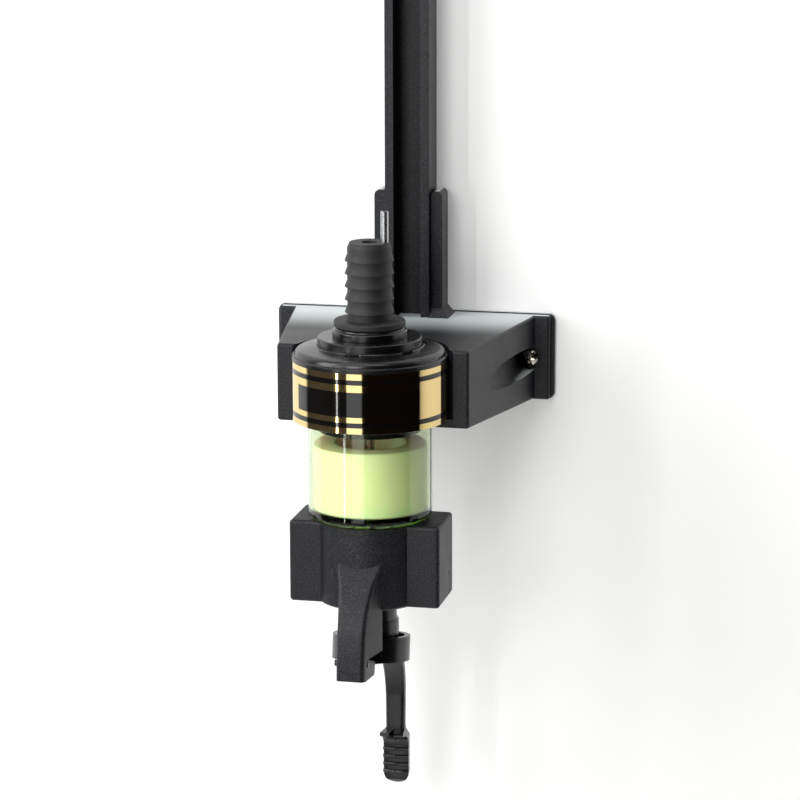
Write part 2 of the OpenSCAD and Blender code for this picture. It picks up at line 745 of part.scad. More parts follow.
module top_cap() color(gloss_black) on_axis() difference() {
    union() {
        rotate_extrude() polygon(concat(
            [[0, gasket_top], [spigot_r, gasket_top], [spigot_r, cap_seat], [collar_r, cap_seat],
             [collar_r, cap_seat + 1.5], [collar_r - 0.4, cap_seat + 1.9], [collar_r - 0.9, cap_seat + 1.9]],
            arc(collar_r - 3.4, cap_seat + 1.9, 2.5, dome_top - 0.9 - cap_seat - 1.9, 0, 84, 8),
            [[step_r + 0.9, dome_top], [step_r + 0.7, dome_top + 0.4], [step_r + 0.2, dome_top + 0.4],
             [step_r, dome_top], [step_r, step_top - 0.4], [step_r - 0.4, step_top], [0, step_top]]));
        tube(skirt_r, skirt_r - 2, skirt_bottom, gasket_top + 1);
        translate([0, 0, seat_z]) cylinder(r = port_r + 1.4, h = gasket_top - seat_z + 1);
    }
    head_ports(seat_z - 1, step_top + 1);
    translate([0, 0, step_top - 4]) cylinder(r = base_r - 3, h = 5);
    for (i = [0:notch_count - 1]) rotate(notch_pitch * i - 4)
        translate([0, -step_r - 1.4, dome_top - 1.3]) notch();
}

// One of the key notches at the foot of the cap's step
module notch() translate([-notch_w / 2 + 1, 0, 0]) {
    block([0, -1, 0], [notch_w - 2, 1, 3]);
    for (x = [0, notch_w - 2]) translate([x, 0, 0]) cylinder(r = 1, h = 3);
}

module collar_ring() color(gloss_black) on_axis() rotate_extrude() polygon([
    [chamber_r + 0.2, collar_bottom], [collar_r - 0.5, collar_bottom],
    [collar_r - foil_t, collar_bottom + 0.3], [collar_r - foil_t, cap_seat],
    [spigot_r + fit_gap, cap_seat], [spigot_r + fit_gap, flange_top - clamp_t],
    [chamber_r + 0.2, flange_top - clamp_t]
]);

module label_band() color("#d8b25c") on_axis()
    tube(collar_r, collar_r - foil_t, collar_bottom + 0.3, cap_seat);

module stopper_base() color(gloss_black) on_axis() difference() {
    rotate_extrude() polygon([
        [0, step_top - 4], [base_r - 3, step_top - 4], [base_r - 3, step_top], [base_r, step_top],
        [base_r, base_top - 1.4], [base_r - 0.5, base_top - 0.9], [base_r - 1, base_top - 0.9],
        [base_r - 1, base_top - 0.4], [base_r - 1.6, base_top], [0, base_top]
    ]);
    head_ports(step_top - 5, base_top + 1);
}

module bottle_stopper() color(rubber) on_axis() difference() {
    union() {
        translate([0, 0, base_top]) rotate_extrude() polygon([
            [0, 0], [flange_r - 0.4, 0], [flange_r, 0.5], [flange_r, flange_t - 0.5],
            [flange_r - 0.5, flange_t], [0, flange_t]
        ]);
        translate([0, 0, base_top]) cylinder(r = plug_r, h = flange_t + plug_l - 2);
        translate([0, 0, plug_top - 2]) cylinder(r1 = plug_r, r2 = plug_r - 0.8, h = 2);
        for (i = [0:plug_ribs - 1]) translate([0, 0, bottle_mouth + 3 + i * (plug_l - 5) / plug_ribs])
            cylinder(r1 = plug_r + rib_out, r2 = plug_r, h = 2.6);
    }
    head_ports(base_top - 1, plug_top + 1);
}

module breather_tube() color(steel) on_axis() translate([tube_off, 0, 0])
    tube(tube_r, tube_r - 0.4, gasket_top - 2, plug_top + tube_rise);

// The clear cup with its clamping flange, thick floor, boss and outlet neck
module chamber() color("#9fc07a", 0.4) on_axis() rotate_extrude() polygon(concat(
    [[chamber_in, floor_top], [chamber_in, flange_top], [spigot_r - 0.3, flange_top],
     [spigot_r - 0.3, flange_top - clamp_t], [chamber_r, flange_top - clamp_t]],
    arc(chamber_r - floor_r, chamber_bottom + floor_r, floor_r, floor_r, 0, -90, 8),
    [[socket_r - fit_gap, chamber_bottom], [socket_r - fit_gap, chamber_bottom - boss_drop],
     [neck_r, chamber_bottom - boss_drop], [neck_r, neck_bottom], [neck_in, neck_bottom],
     [neck_in, floor_top]]));

module chamber_gasket() color(rubber) on_axis() tube(spigot_r - 0.3, skirt_r + 0.2, flange_top, gasket_top);

module measure_ring() color("#f2f2e6") on_axis() rotate_extrude() polygon([
    [insert_in, floor_top + 0.6], [insert_in + 0.6, floor_top], [chamber_in - 0.9, floor_top],
    [chamber_in - 0.3, floor_top + 0.6], [chamber_in - 0.3, floor_top + insert_h - 0.4],
    [chamber_in - 0.7, floor_top + insert_h], [insert_in + 0.4, floor_top + insert_h],
    [insert_in, floor_top + insert_h - 0.4]
]);

// How far up the nose a height lies: 1 at the ramp's top, 0 at the foot
function nose_up(z) = (z - foot_z) / (nose_top - foot_z);

// The nose's plan at one height: round edges in front and flanks that flare back.
// Going down, the ramp runs out fast and then ever steeper, and the front narrows.
function nose_ring(z) =
    let (up = nose_up(z),
         front = nose_reach - (nose_reach - hub_r) * pow(max(0, up), 2.4) - nose_round,
         half = foot_half + (nose_half - foot_half) * pow(max(0, min(1, up)), 5) - nose_round)
    [for (p = concat(arc(-half, -front, nose_round, nose_round, 180, 270, 4),
                     arc(half, -front, nose_round, nose_round, 270, 360, 4),
                     [[nose_root, -nose_rear], [-nose_root, -nose_rear]])) [p[0], p[1], z]];

// How far below the nose's top its sections lie, closer together where the ramp bends most
nose_falls = [24.5, 20.5, 17, 13.5, 10.5, 8, 5.5, 3.5, 1.7, 0, -2.2, -4.5];

// The blade that hangs from the boss and carries the hinge
module nose() difference() {
    loft([for (z = concat([foot_z - 3, foot_z, slot_bottom, slot_top], [for (f = nose_falls) nose_top - f]))
        nose_ring(z)]);
    side_cut([[-nose_reach - 1, foot_z], [0, foot_z - nose_reach * tan(foot_slope)],
              [0, 2 * foot_z], [-nose_reach - 1, 2 * foot_z]]);
}

// A cut right through the nose from side to side, drawn as y and z
module side_cut(outline) rotate([90, 0, 90]) translate([0, 0, -hub_r]) linear_extrude(2 * hub_r)
    polygon(outline);

// The room that the lever's tongue and ring need in the nose
module nose_slot() {
    block([-clevis_half, -hinge_off - knuckle_r - 0.4, slot_bottom], [clevis_half, 0, slot_top]);
    on_lever() block([-clevis_half, knuckle_r + 0.5, -tongue_t / 2 - 0.4], [clevis_half, ring_u, 0]);
    foot_back = -ring_out - 1.6;
    behind_pin = pin_r + 0.3 - hinge_off;
    below = foot_z - knuckle_r - nose_round;
    side_cut([[behind_pin, slot_top], [0, slot_top], [0, below], [foot_back - 2.6, below],
              [foot_back - 2.6, foot_z - 2.2], [foot_back, slot_bottom - 0.2], [behind_pin, slot_top - 1]]);
    for (s = [0, 1]) mirror([s, 0, 0])
        block([foot_half + 0.1, -nose_reach - 1, below], [hub_r, 0, slot_top]);
}

module lower_housing() color(black) on_axis() difference() {
    union() {
        soft_block([-housing_w / 2, -housing_front, housing_bottom],
                   [housing_w / 2, housing_rear, chamber_bottom], 1.5);
        rotate_extrude() polygon([
            [0, housing_bottom], [hub_r - 0.8, housing_bottom], [hub_r, housing_bottom + 0.8],
            [hub_r, chamber_bottom - 0.8], [hub_r - 0.8, chamber_bottom], [0, chamber_bottom]
        ]);
        nose();
    }
    translate([0, 0, housing_bottom - 1]) cylinder(r = cavity_r, h = housing_h + 2);
    translate([0, 0, washer_z]) cylinder(r = socket_r, h = 20);
    nose_slot();
    translate([0, -hinge_off, hinge_z]) rod_x(pin_r, 3 * foot_half);
    for (x = [-1, 1]) translate([x * (chamber_r - 1.1), -3.7, chamber_bottom - 2]) cylinder(r = 0.9, h = 3);
    for (s = [0, 1]) mirror([s, 0, 0]) thumb_mark();
}

// A shallow half-round groove on the housing's side
module thumb_mark() translate([housing_w / 2 - mark_w, 3.5, housing_bottom + 6]) rotate([90, 0, 90])
    linear_extrude(mark_w + 1) difference() {
        circle(r = mark_r);
        circle(r = mark_r - mark_w);
        translate([-2 * mark_r, -mark_r - 1]) square(2 * mark_r + 2);
    }

module housing_gasket() color(rubber) on_axis()
    tube(socket_r - fit_gap, neck_r + 4, washer_z, washer_z + washer_t);

module guide_bush() color("#d9d9d2") on_axis()
    tube(cavity_r, bush_r, housing_bottom, housing_bottom + bush_h);

// The hinge pin, whose end stands out of the left-hand cheek
module hinge_pin() color(steel) on_axis() translate([-foot_half - pin_out, -hinge_off, hinge_z])
    rotate([0, 90, 0]) cylinder(r = pin_r, h = 2 * foot_half + pin_out + 0.4);

// ---------------------------------------------------------------- spout and valve

module spout() color(gloss_black) on_axis() difference() {
    rotate_extrude() polygon([
        [0, tip_z], [sleeve_r - 1.5, tip_z], [sleeve_r - 0.3, tip_z + 2.4], [sleeve_r, tip_z + 4],
        [sleeve_r, shoulder_top - 1.5], [barrel_r, shoulder_top], [barrel_r, head_bottom],
        [head_r, head_bottom], [head_r, head_top], [0, head_top]
    ]);
    translate([0, 0, hub_top + sink]) cylinder(r = cup_r, h = head_top - hub_top + 1);
    difference() {
        translate([0, 0, hub_top - hub_h]) cylinder(r = mouth_r + 1.4, h = hub_h + 1);
        valve_hub();
    }
    translate([0, 0, tip_z + 4]) cylinder(r1 = mouth_r, r2 = mouth_r + 1.4, h = hub_top - hub_h - tip_z - 4);
    translate([0, 0, tip_z - 1]) cylinder(r = mouth_r, h = 6);
    for (s = [-1, 1]) translate([s * sleeve_r, 0, lug_z]) lug_slot();
}

// The three-armed hub inside the spout that takes the valve rod
module valve_hub() difference() {
    translate([0, 0, hub_top - hub_h]) union() {
        cylinder(r = stem_r + 1.6, h = hub_h);
        for (a = [0, 120, 240]) rotate(a) translate([0, -0.8, 0]) cube([mouth_r + 3, 1.6, hub_h]);
    }
    translate([0, 0, hub_top - hub_h + 1]) cylinder(r = stem_r, h = hub_h + 1);
}

// The slot in the spout's side that one of the lever's lugs lifts
module lug_slot() {
    half = 0.9;
    block([-2, -half, -lug_r - 0.3], [2, half, lug_r + 0.3]);
    for (y = [-half, half]) translate([0, y, 0]) rod_x(lug_r + 0.3, 4);
}

module valve_rod() color(steel) on_axis()
    translate([0, 0, hub_top - hub_h + 1]) cylinder(r = stem_r, h = inlet_top - 1 - hub_top + hub_h - 1);

// The cap that closes the liquor port when the spout is lifted
module inlet_seal() color(rubber) on_axis() difference() {
    rotate_extrude() polygon([
        [0, inlet_top - 4], [stem_r + 1, inlet_top - 4], [port_r + 1.1, inlet_top - 2],
        [port_r + 1.1, inlet_top - 0.4], [port_r + 0.7, inlet_top], [0, inlet_top]
    ]);
    translate([0, 0, inlet_top - 5]) cylinder(r = stem_r, h = 4);
}

module outlet_seal() color(rubber) on_axis()
    tube(neck_in + 2, stem_r, floor_top + fit_gap, floor_top + 3);

module valve_spring() color(steel) on_axis()
    coil(neck_r + 2.2, valve_wire, spring_base, spring_top, valve_turns);

// ---------------------------------------------------------------- lever

// Centre line of the lever's arm: out from the ring, round the bend and straight down
arm_start = [ring_out + 2.5, lug_z - (ring_out + 2.5) * tan(lever_slope) - 1];
across = [sin(lever_slope), cos(lever_slope)];
to_ring = 4.5 * [-cos(lever_slope), sin(lever_slope)];
bend_centre = arm_start - bend_r * across;
arm_y = bend_centre[0] + bend_r;
thumb_top = bend_centre[1] - 13.9;

// The arm's outline where it passes a point, round in front and nearly square behind
function arm_ring(mid, turn, w) =
    let (front = arm_round, behind = arm_round / 2, half = arm_t / 2)
    [for (p = concat(arc(front - w / 2, front - half, front, front, 180, 270, 3),
                     arc(w / 2 - front, front - half, front, front, 270, 360, 3),
                     arc(w / 2 - behind, half - behind, behind, behind, 0, 90, 2),
                     arc(behind - w / 2, half - behind, behind, behind, 90, 180, 2)))
        [p[0], mid[0] + p[1] * cos(turn), mid[1] + p[1] * sin(turn)]];

// The arm: up from the pad, round the bend and into the ring, a little wider all the way
module arm() {
    bends = 10;
    widen = (arm_w - arm_tip_w) / (bends + 2);
    loft(concat(
        [arm_ring([arm_y, thumb_top - 2.5], 0, arm_tip_w)],
        [for (i = [0:bends]) let (a = (90 - lever_slope) * i / bends)
            arm_ring(bend_centre + bend_r * [cos(a), sin(a)], a, arm_tip_w + widen * (i + 1))],
        [arm_ring(bend_centre + bend_r * across + to_ring, 90 - lever_slope, arm_w)]));
}

// The pad's side view: a lip on top, a hollow front with ribs, a full back
module thumb_side() {
    face = arm_y;
    back = arm_y + 5;
    first_rib = 9.2;
    pitch = (thumb_h - first_rib - 1.8) / thumb_ribs;
    polygon(concat(
        [[back - 1.5, 0], [face - 8, 0], [face - 8.6, -0.6], [face - 8.2, -1.6]],
        arc(face - 8.2, -7.6, 8.2, 6, 90, 0, 6),
        [[face, -thumb_h + 1.5], [face + 1.5, -thumb_h], [back - 2, -thumb_h]],
        arc(back - 2, -thumb_h + 5, 2, 5, -90, 0, 4),
        [[back, -4]]));
    for (i = [0:thumb_ribs - 1]) translate([face, -first_rib - i * pitch]) circle(r = 0.8, $fn = 16);
}

// The pad's front view, rounded below
module thumb_front() {
    half = thumb_w / 2;
    round = half * 0.85;
    neck = half - 1.4;
    polygon(concat(
        arc(round - half, round - thumb_h, round, round, -90, -180, 6),
        [[-half, -4], [-neck, -1.2], [-neck, 1], [neck, 1], [neck, -1.2], [half, -4]],
        arc(half - round, round - thumb_h, round, round, 0, -90, 6)));
}

// The pad: two ribbed halves that fall back a little from the ridge between them
module thumb_pad() for (s = [0, 1]) mirror([s, 0, 0])
    translate([0, arm_y, 0]) rotate(thumb_v) translate([0, -arm_y, 0]) intersection() {
        rotate([90, 0, 90]) linear_extrude(thumb_w) thumb_side();
        translate([0, arm_y + 10, 0]) rotate([90, 0, 0]) linear_extrude(25) thumb_front();
    }

module lever() color(gloss_black) on_axis() difference() {
    union() {
        on_lever() {
            translate([0, ring_u, -tongue_t / 2]) cylinder(r = ring_out, h = ring_h);
            translate([-clevis_half + slide_gap, 0, -tongue_t / 2])
                cube([2 * (clevis_half - slide_gap), ring_u, tongue_t]);
            rod_x(knuckle_r, 2 * (clevis_half - slide_gap));
        }
        arm();
        translate([0, 0, thumb_top]) thumb_pad();
    }
    on_lever() {
        difference() {
            translate([0, ring_u, -ring_h]) cylinder(r = ring_in, h = 3 * ring_h);
            for (s = [-1, 1]) translate([s * (ring_in + sleeve_r - 1.2) / 2, ring_u, lug_v])
                rod_x(lug_r, ring_in - sleeve_r + 1.6);
        }
        rod_x(pin_r + run_gap, 2 * foot_half);
    }
}

// ---------------------------------------------------------------- assembly

wall_plate();
bracket_body();
wall_screws();
assembly_screws();
bottle_rail();
rail_end_cap();
steady_arm();
clamp_knob();
clamp_screw();
pressure_plate();
punt_pad();
plunger_rod();
rod_clip();
plunger_spring();
top_cap();
collar_ring();
label_band();
stopper_base();
bottle_stopper();
breather_tube();
chamber();
chamber_gasket();
measure_ring();
lower_housing();
housing_gasket();
guide_bush();
hinge_pin();
spout();
valve_rod();
inlet_seal();
outlet_seal();
valve_spring();
lever();
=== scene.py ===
import json
import math
import bpy
import bmesh
from mathutils import Euler, Matrix, Vector


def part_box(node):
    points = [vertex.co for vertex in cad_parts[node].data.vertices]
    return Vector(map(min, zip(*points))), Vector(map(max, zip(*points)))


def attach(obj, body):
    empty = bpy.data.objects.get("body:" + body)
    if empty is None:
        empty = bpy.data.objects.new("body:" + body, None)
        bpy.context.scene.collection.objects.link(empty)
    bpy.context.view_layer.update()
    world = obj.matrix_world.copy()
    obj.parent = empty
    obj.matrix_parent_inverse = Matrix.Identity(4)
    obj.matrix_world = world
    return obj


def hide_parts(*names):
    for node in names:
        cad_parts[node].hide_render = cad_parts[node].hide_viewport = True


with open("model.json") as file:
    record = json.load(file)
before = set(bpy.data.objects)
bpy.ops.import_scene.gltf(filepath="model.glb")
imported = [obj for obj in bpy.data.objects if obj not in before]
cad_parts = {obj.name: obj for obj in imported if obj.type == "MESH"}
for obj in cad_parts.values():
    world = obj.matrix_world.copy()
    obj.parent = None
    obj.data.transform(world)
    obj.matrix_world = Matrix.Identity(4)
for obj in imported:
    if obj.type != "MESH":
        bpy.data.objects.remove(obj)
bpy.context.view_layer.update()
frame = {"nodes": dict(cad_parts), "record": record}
nodes = frame["nodes"]
mm = 0.001
print("frame loaded:", len(nodes), "nodes")

# ---- camera and light

cupLow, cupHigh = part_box("chamber")
axisY = (cupLow.y + cupHigh.y) / 2  # the measuring head's own axis

camera = {
    "place": (0.2890, -1.3124, 0.2816),
    "azimuth": 12.71,      # degrees to the right of straight on
    "down": 12.69,         # degrees below the horizon
    "roll": -0.17,
    "lens": 151.3, "sensor": 36,
    "clip": (0.05, 20),
}


def makeCamera(c):
    data = bpy.data.cameras.new("photoCamera")
    data.sensor_width = c["sensor"]
    data.lens = c["lens"]
    data.clip_start, data.clip_end = c["clip"]
    obj = bpy.data.objects.new("photoCamera", data)
    bpy.context.scene.collection.objects.link(obj)
    obj.location = c["place"]
    turn = Euler((math.radians(90 - c["down"]), 0, math.radians(c["azimuth"]))).to_matrix()
    obj.rotation_euler = (turn @ Matrix.Rotation(math.radians(c["roll"]), 3, "Z")).to_euler()
    bpy.context.scene.camera = obj


makeCamera(camera)
bpy.context.scene.view_settings.view_transform = "Standard"

softboxes = {
    # name: (degrees to the right, degrees up, distance, width, height, watts)
    "leftSoftbox": (-58, 22, 1.3, 0.6, 1.1, 11.5),
    "leftStrip": (-36, 8, 1.5, 0.05, 1.4, 3.6),
    "frontCard": (-12, 20, 1.8, 0.6, 0.9, 11),
    "lowCard": (-10, -12, 1.8, 0.7, 0.8, 3.2),
    "topSoftbox": (-8, 64, 1.4, 1.4, 0.6, 6),
}


def makeSoftbox(name, side, lift, distance, width, height, watts):
    data = bpy.data.lights.new(name, "AREA")
    data.shape = "RECTANGLE"
    data.size = width
    data.size_y = height
    data.energy = watts
    obj = bpy.data.objects.new(name, data)
    bpy.context.scene.collection.objects.link(obj)
    a, e = math.radians(side), math.radians(lift)
    aim = Vector((0, axisY, 0))
    away = Vector((math.sin(a) * math.cos(e), -math.cos(a) * math.cos(e), math.sin(e)))
    obj.location = aim + away * distance
    obj.rotation_mode = "QUATERNION"
    obj.rotation_quaternion = away.to_track_quat("Z", "Y")
    obj.visible_camera = False


for softboxName, softboxValues in softboxes.items():
    makeSoftbox(softboxName, *softboxValues)
print("camera and lights made")

# ---- materials


# an sRGB hex colour as Blender's linear one
def hexLinear(text):
    parts = [int(text[i:i + 2], 16) / 255 for i in (1, 3, 5)]
    linear = [p / 12.92 if p <= 0.04045 else ((p + 0.055) / 1.055) ** 2.4 for p in parts]
    return (*linear, 1.0)


# one shader node with its settings (sockets by name or number, or properties) and its incoming links
def addNode(tree, kind, settings=None, links=None):
    node = tree.nodes.new("ShaderNode" + kind)
    for name, value in (settings or {}).items():
        if isinstance(name, int) or name in node.inputs:
            node.inputs[name].default_value = value
        else:
            setattr(node, name, value)
    for name, source in (links or {}).items():
        tree.links.new(source, node.inputs[name])
    return node


def newMaterial(name):
    material = bpy.data.materials.new(name)
    material.use_nodes = True
    tree = material.node_tree
    shader = tree.nodes["Principled BSDF"]
    place = addNode(tree, "TexCoord").outputs["Object"]
    return material, tree, shader, place


# a noise texture's scale from a real size in millimetres
def grainSize(millimetres):
    return 1 / (millimetres * mm)


# black ABS from a spark-eroded mould: an even grain of pale flecks, drawn coarser than it is so that it shows.
# Near the wall, surfaces that look up get a pale painted sheen at a glancing angle: a painted reflection of
# the bright wall, mixed into the base colour.
moulded = {
    "colour": "#101013", "fleck": "#3a3d47", "grain": 0.5, "fleckFrom": 0.5, "fleckFull": 0.72,
    "cloud": 14, "rough": (0.38, 0.5), "bump": 0.22, "bumpHeight": 0.3,
    "ior": 1.53, "specular": 0.32,
    # the pale painted sheen near the wall, which stands for the wall's reflection, and where it shows
    "dustAndPaintedSheen": "#d3dbdb", "paintedSheenFrom": 50, "paintedSheenFull": 10,   # distances from the wall
    "paintedSheenSpread": (0.85, 1.15), "levelFrom": 0.85,       # how even the painted sheen is, and how level a surface must be to show it
    "glanceFrom": 0.5, "glanceFull": 0.75,
}


def makeMouldedAbs(m):
    material, tree, shader, place = newMaterial("grainedAbs")
    cloud = addNode(tree, "TexNoise", {"Scale": grainSize(m["cloud"]), "Detail": 3.0}, {"Vector": place})
    grain = addNode(tree, "TexNoise", {"Scale": grainSize(m["grain"]), "Detail": 3.0}, {"Vector": place})
    fleck = addNode(tree, "MapRange", {"From Min": m["fleckFrom"], "From Max": m["fleckFull"]},
                    {"Value": grain.outputs[0]})
    colour = addNode(tree, "MixRGB", {1: hexLinear(m["colour"]), 2: hexLinear(m["fleck"])},
                     {0: fleck.outputs[0]})

    # painted sheen: a pale colour goes into the base colour near the wall, on level surfaces, seen at a
    # glancing angle
    part = addNode(tree, "SeparateXYZ", links={0: place})
    side = addNode(tree, "SeparateXYZ", links={0: addNode(tree, "NewGeometry").outputs["Normal"]})
    skew = addNode(tree, "LayerWeight", {"Blend": 0.5})
    near = addNode(tree, "MapRange", {"From Min": -m["paintedSheenFrom"] * mm, "From Max": -m["paintedSheenFull"] * mm,
                                      "interpolation_type": "SMOOTHSTEP"}, {"Value": part.outputs["Y"]})
    level = addNode(tree, "MapRange", {"From Min": m["levelFrom"], "From Max": 1.0},
                    {"Value": side.outputs["Z"]})
    glancing = addNode(tree, "MapRange", {"From Min": m["glanceFrom"], "From Max": m["glanceFull"]},
                       {"Value": skew.outputs["Facing"]})
    uneven = addNode(tree, "MapRange", {"To Min": m["paintedSheenSpread"][0], "To Max": m["paintedSheenSpread"][1]},
                     {"Value": cloud.outputs[0]})
    levelAndGlancing = addNode(tree, "Math", {"operation": "MULTIPLY"}, {0: level.outputs[0], 1: glancing.outputs[0]})
    paintedSheenPlace = addNode(tree, "Math", {"operation": "MULTIPLY"}, {0: near.outputs[0], 1: levelAndGlancing.outputs[0]})
    dustAndPaintedSheen = addNode(tree, "Math", {"operation": "MULTIPLY", "use_clamp": True},
                   {0: paintedSheenPlace.outputs[0], 1: uneven.outputs[0]})
    # mixes the painted sheen, a painted reflection of the wall, into the grain's colour
    paintedSheenColour = addNode(tree, "MixRGB", {2: hexLinear(m["dustAndPaintedSheen"])}, {0: dustAndPaintedSheen.outputs[0], 1: colour.outputs[0]})

    rough = addNode(tree, "MapRange", {"To Min": m["rough"][0], "To Max": m["rough"][1]},
                    {"Value": cloud.outputs[0]})
    bump = addNode(tree, "Bump", {"Strength": m["bump"], "Distance": m["bumpHeight"] * mm},
                   {"Height": grain.outputs[0]})
    tree.links.new(paintedSheenColour.outputs[0], shader.inputs["Base Color"])
    tree.links.new(rough.outputs[0], shader.inputs["Roughness"])
    tree.links.new(bump.outputs[0], shader.inputs["Normal"])
    shader.inputs["IOR"].default_value = m["ior"]
    shader.inputs["Specular IOR Level"].default_value = m["specular"]
    return material


# black ABS from a polished mould: a deep satin gloss, with faint handling marks
polished = {"colour": "#060607", "worn": "#0d0d0f", "marks": 7, "rough": (0.22, 0.32), "ior": 1.53}


def makePolishedAbs(m):
    material, tree, shader, place = newMaterial("polishedAbs")
    marks = addNode(tree, "TexNoise", {"Scale": grainSize(m["marks"]), "Detail": 5.0}, {"Vector": place})
    colour = addNode(tree, "MixRGB", {1: hexLinear(m["colour"]), 2: hexLinear(m["worn"])},
                     {0: marks.outputs[0]})
    rough = addNode(tree, "MapRange", {"To Min": m["rough"][0], "To Max": m["rough"][1]},
                    {"Value": marks.outputs[0]})
    tree.links.new(colour.outputs[0], shader.inputs["Base Color"])
    tree.links.new(rough.outputs[0], shader.inputs["Roughness"])
    shader.inputs["IOR"].default_value = m["ior"]
    return material


# three metals: tumbled stainless with soft streaks, blackened steel dark and duller, nickel plate bright
metals = {
    # name: (colour, roughness, size of the streaks in millimetres)
    "stainlessSteel": ("#b9bbbd", 0.28, 2.5),
    "blackenedSteel": ("#3a3a3d", 0.34, 2.0),
    "nickelPlate": ("#c9c4ba", 0.16, 1.5),
}
streakSpread = (0.7, 1.3)  # how far the streaks take the roughness down and up


def makeMetal(name, colour, rough, streak):
    material, tree, shader, place = newMaterial(name)
    streaks = addNode(tree, "TexNoise", {"Scale": grainSize(streak), "Detail": 4.0}, {"Vector": place})
    spread = addNode(tree, "MapRange", {"To Min": rough * streakSpread[0], "To Max": rough * streakSpread[1]},
                     {"Value": streaks.outputs[0]})
    tree.links.new(spread.outputs[0], shader.inputs["Roughness"])
    shader.inputs["Base Color"].default_value = hexLinear(colour)
    shader.inputs["Metallic"].default_value = 1.0
    return material


# black nitrile rubber, moulded: dull, a little dusty
rubber = {"colour": "#141416", "dustAndPaintedSheen": "#232325", "speck": 3, "rough": (0.5, 0.72), "ior": 1.52}


def makeRubber(m):
    material, tree, shader, place = newMaterial("nitrileRubber")
    dustAndPaintedSheen = addNode(tree, "TexNoise", {"Scale": grainSize(m["speck"]), "Detail": 4.0}, {"Vector": place})
    colour = addNode(tree, "MixRGB", {1: hexLinear(m["colour"]), 2: hexLinear(m["dustAndPaintedSheen"])},
                     {0: dustAndPaintedSheen.outputs[0]})
    rough = addNode(tree, "MapRange", {"To Min": m["rough"][0], "To Max": m["rough"][1]},
                    {"Value": dustAndPaintedSheen.outputs[0]})
    tree.links.new(colour.outputs[0], shader.inputs["Base Color"])
    tree.links.new(rough.outputs[0], shader.inputs["Roughness"])
    shader.inputs["IOR"].default_value = m["ior"]
    return material


# clear SAN, moulded and polished: hard reflections, and green only where one looks through much of it
cup = {
    "colour": "#f6faee", "marks": 9, "rough": (0.01, 0.05), "ior": 1.45,
    "tint": "#c2d596", "density": 150.0,
    "shadow": "#f3f7e6",   # what lamps lose on their way through
}


def makeClearCup(m):
    material, tree, shader, place = newMaterial("clearSan")
    marks = addNode(tree, "TexNoise", {"Scale": grainSize(m["marks"]), "Detail": 4.0}, {"Vector": place})
    rough = addNode(tree, "MapRange", {"To Min": m["rough"][0], "To Max": m["rough"][1]},
                    {"Value": marks.outputs[0]})
    tree.links.new(rough.outputs[0], shader.inputs["Roughness"])
    shader.inputs["Base Color"].default_value = hexLinear(m["colour"])
    shader.inputs["Transmission Weight"].default_value = 1.0
    shader.inputs["IOR"].default_value = m["ior"]
    inShadow = addNode(tree, "LightPath").outputs["Is Shadow Ray"]
    passing = addNode(tree, "BsdfTransparent", {"Color": hexLinear(m["shadow"])})
    mix = addNode(tree, "MixShader", links={0: inShadow, 1: shader.outputs[0], 2: passing.outputs[0]})
    absorb = addNode(tree, "VolumeAbsorption", {"Color": hexLinear(m["tint"]), "Density": m["density"]})
    result = tree.nodes["Material Output"]
    tree.links.new(mix.outputs[0], result.inputs["Surface"])
    tree.links.new(absorb.outputs[0], result.inputs["Volume"])
    return material


# white acetal, moulded: waxy, and light goes a little way in
acetal = {
    "colour": "#efeecb", "pale": "#f7f5dd", "flow": 11, "rough": (0.3, 0.42), "ior": 1.48,
    "scatter": 0.6, "scatterDepth": 10,
}


def makeWhiteAcetal(m):
    material, tree, shader, place = newMaterial("whiteAcetal")
    flow = addNode(tree, "TexNoise", {"Scale": grainSize(m["flow"]), "Detail": 3.0}, {"Vector": place})
    colour = addNode(tree, "MixRGB", {1: hexLinear(m["colour"]), 2: hexLinear(m["pale"])},
                     {0: flow.outputs[0]})
    rough = addNode(tree, "MapRange", {"To Min": m["rough"][0], "To Max": m["rough"][1]},
                    {"Value": flow.outputs[0]})
    tree.links.new(colour.outputs[0], shader.inputs["Base Color"])
    tree.links.new(rough.outputs[0], shader.inputs["Roughness"])
    shader.inputs["IOR"].default_value = m["ior"]
    shader.inputs["Subsurface Weight"].default_value = m["scatter"]
    shader.inputs["Subsurface Scale"].default_value = m["scatterDepth"] * mm
    return material


# gold hot-stamping foil on the collar, printed black: a mirror with a faint ripple
foil = {
    "gold": "#e2c88c", "ink": "#0b0908", "rough": 0.07,
    # a bare black panel and two black lines, from and to these shares of the band's height below its top
    "panel": (0.305, 0.725), "lines": ((0.10, 0.185), (0.815, 0.90)),
    "panelHalf": 52,       # half the panel's width in degrees
    "ripple": 6, "rippleBump": 0.05, "rippleHeight": 0.3,
}


